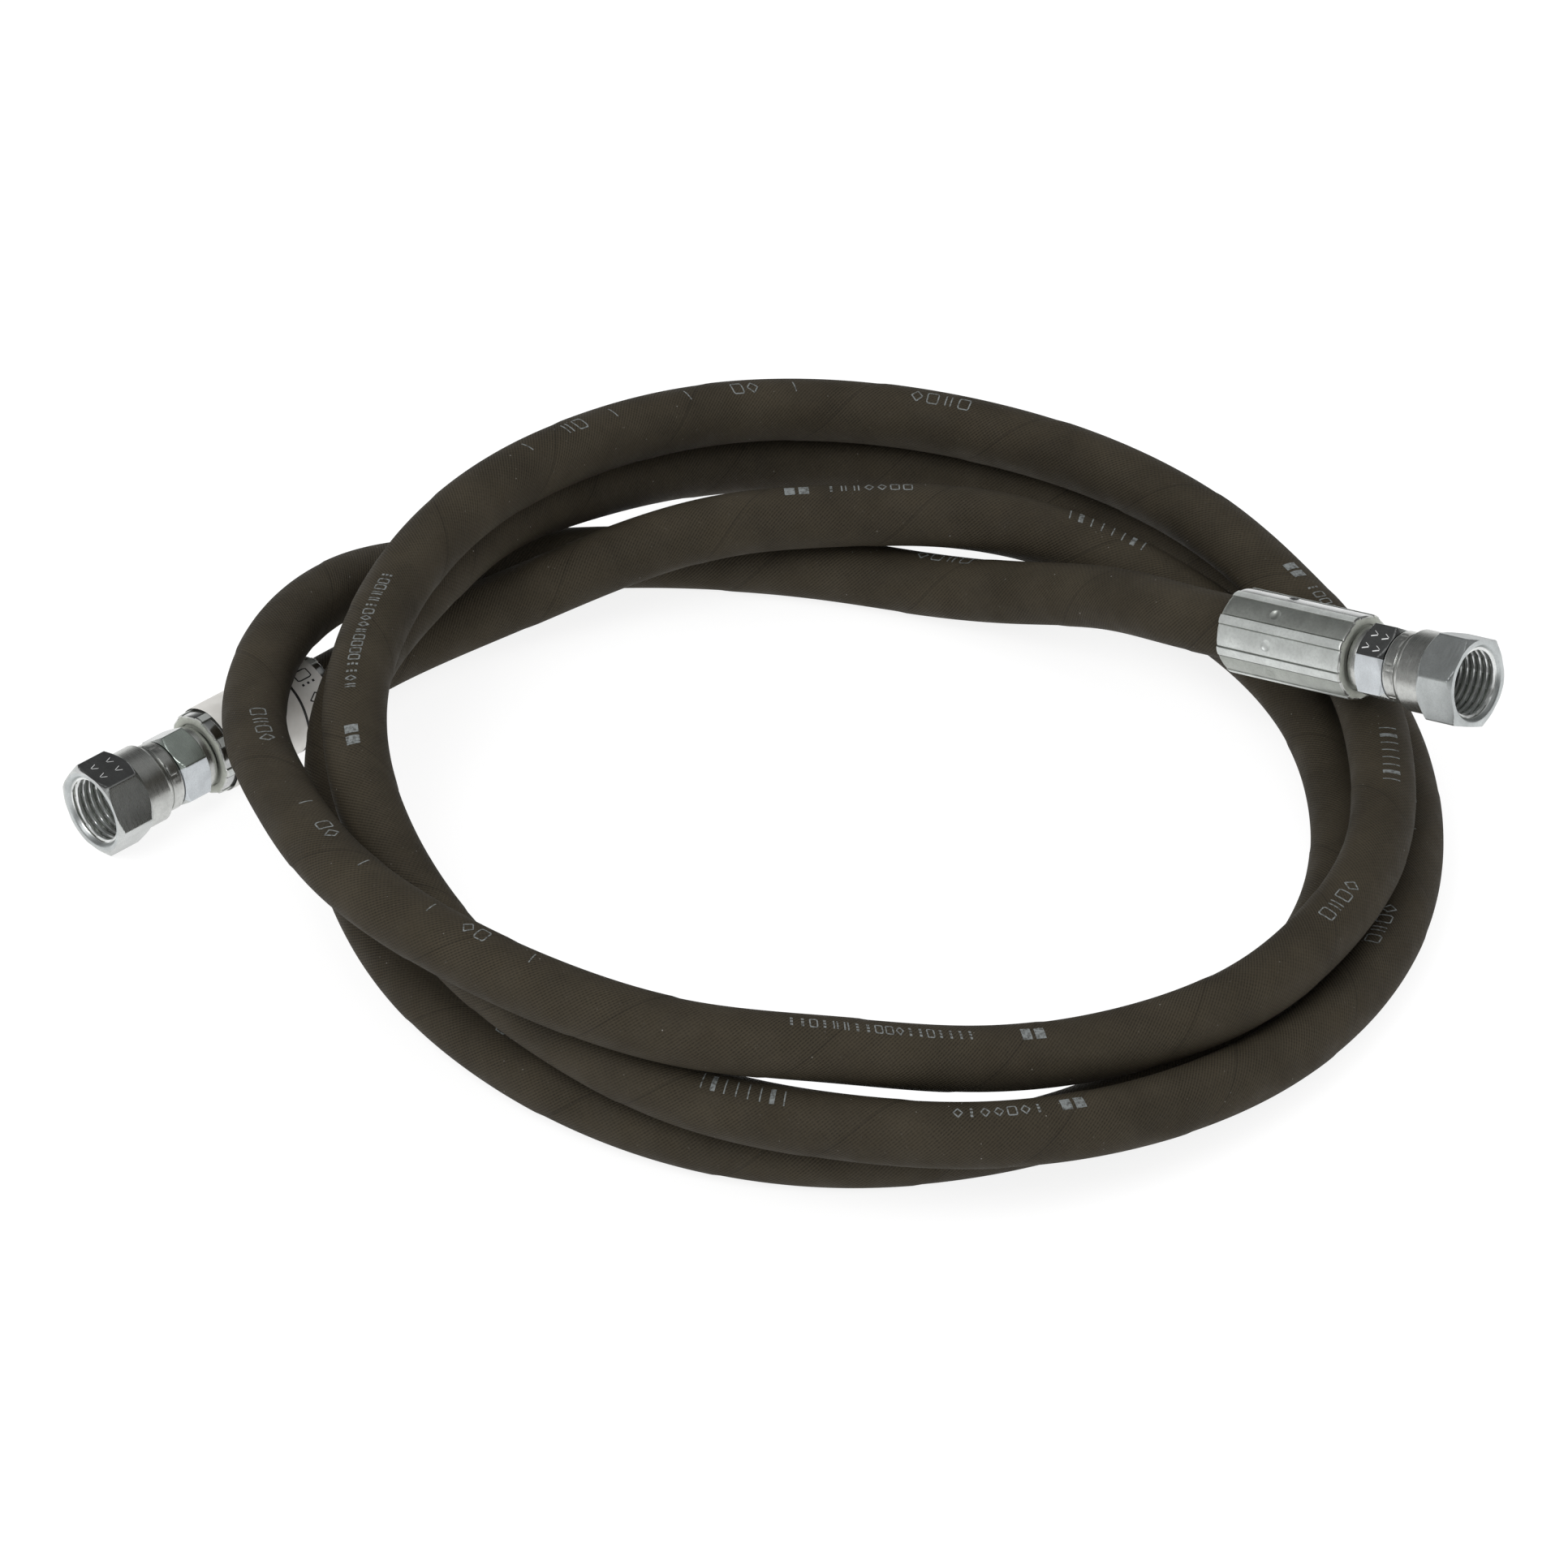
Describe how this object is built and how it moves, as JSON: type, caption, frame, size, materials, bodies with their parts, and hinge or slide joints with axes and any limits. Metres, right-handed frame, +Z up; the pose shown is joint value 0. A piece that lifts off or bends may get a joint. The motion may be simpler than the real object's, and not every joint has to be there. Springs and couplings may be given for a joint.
{
  "type": "hydraulic hose assembly",
  "caption": "Loosely coiled two-wire hydraulic hose with a crimped ferrule, hexagon stem and free-turning swivel nut at each end.",
  "frame": {"origin": "on the floor, under the middle of the whole assembly as it lies coiled", "axes": "+Z up; X along the longest extent, from swivel nut a to swivel nut b; Y across, towards the side of the coil where the hose passes under and over itself"},
  "size_m": [0.4452, 0.375, 0.0817],
  "materials": {
    "cover_rubber": "matt black synthetic rubber with a wrapped-cloth finish",
    "tube_rubber": "smooth black nitrile rubber",
    "braid_wire": "brass-coated high tensile steel wire braid",
    "zinc_plate": "bright zinc plate on machined steel",
    "label_film": "satin white self-adhesive film"
  },
  "bodies": {
    "hose": {"inner_tube": "tube_rubber", "inner_wire_braid": "braid_wire", "insulation_layer": "tube_rubber", "outer_wire_braid": "braid_wire", "hose_cover": "cover_rubber", "ferrule_a": "zinc_plate", "hose_stem_a": "zinc_plate", "ferrule_label": "label_film", "ferrule_b": "zinc_plate", "hose_stem_b": "zinc_plate"},
    "nut_a": {"swivel_nut_a": "zinc_plate"},
    "nut_b": {"swivel_nut_b": "zinc_plate"}
  },
  "joints": [
    {"name": "nut_a_swivel", "type": "hinge", "parent": "hose", "child": "nut_a", "pos_m": [-0.19912, 0.00609, 0.0137], "axis": [-0.7449, -0.6672, 0], "continuous": true},
    {"name": "nut_b_swivel", "type": "hinge", "parent": "hose", "child": "nut_b", "pos_m": [0.19937, 0.00099, 0.06256], "axis": [0.7726, -0.5948, 0.2221], "continuous": true}
  ]
}
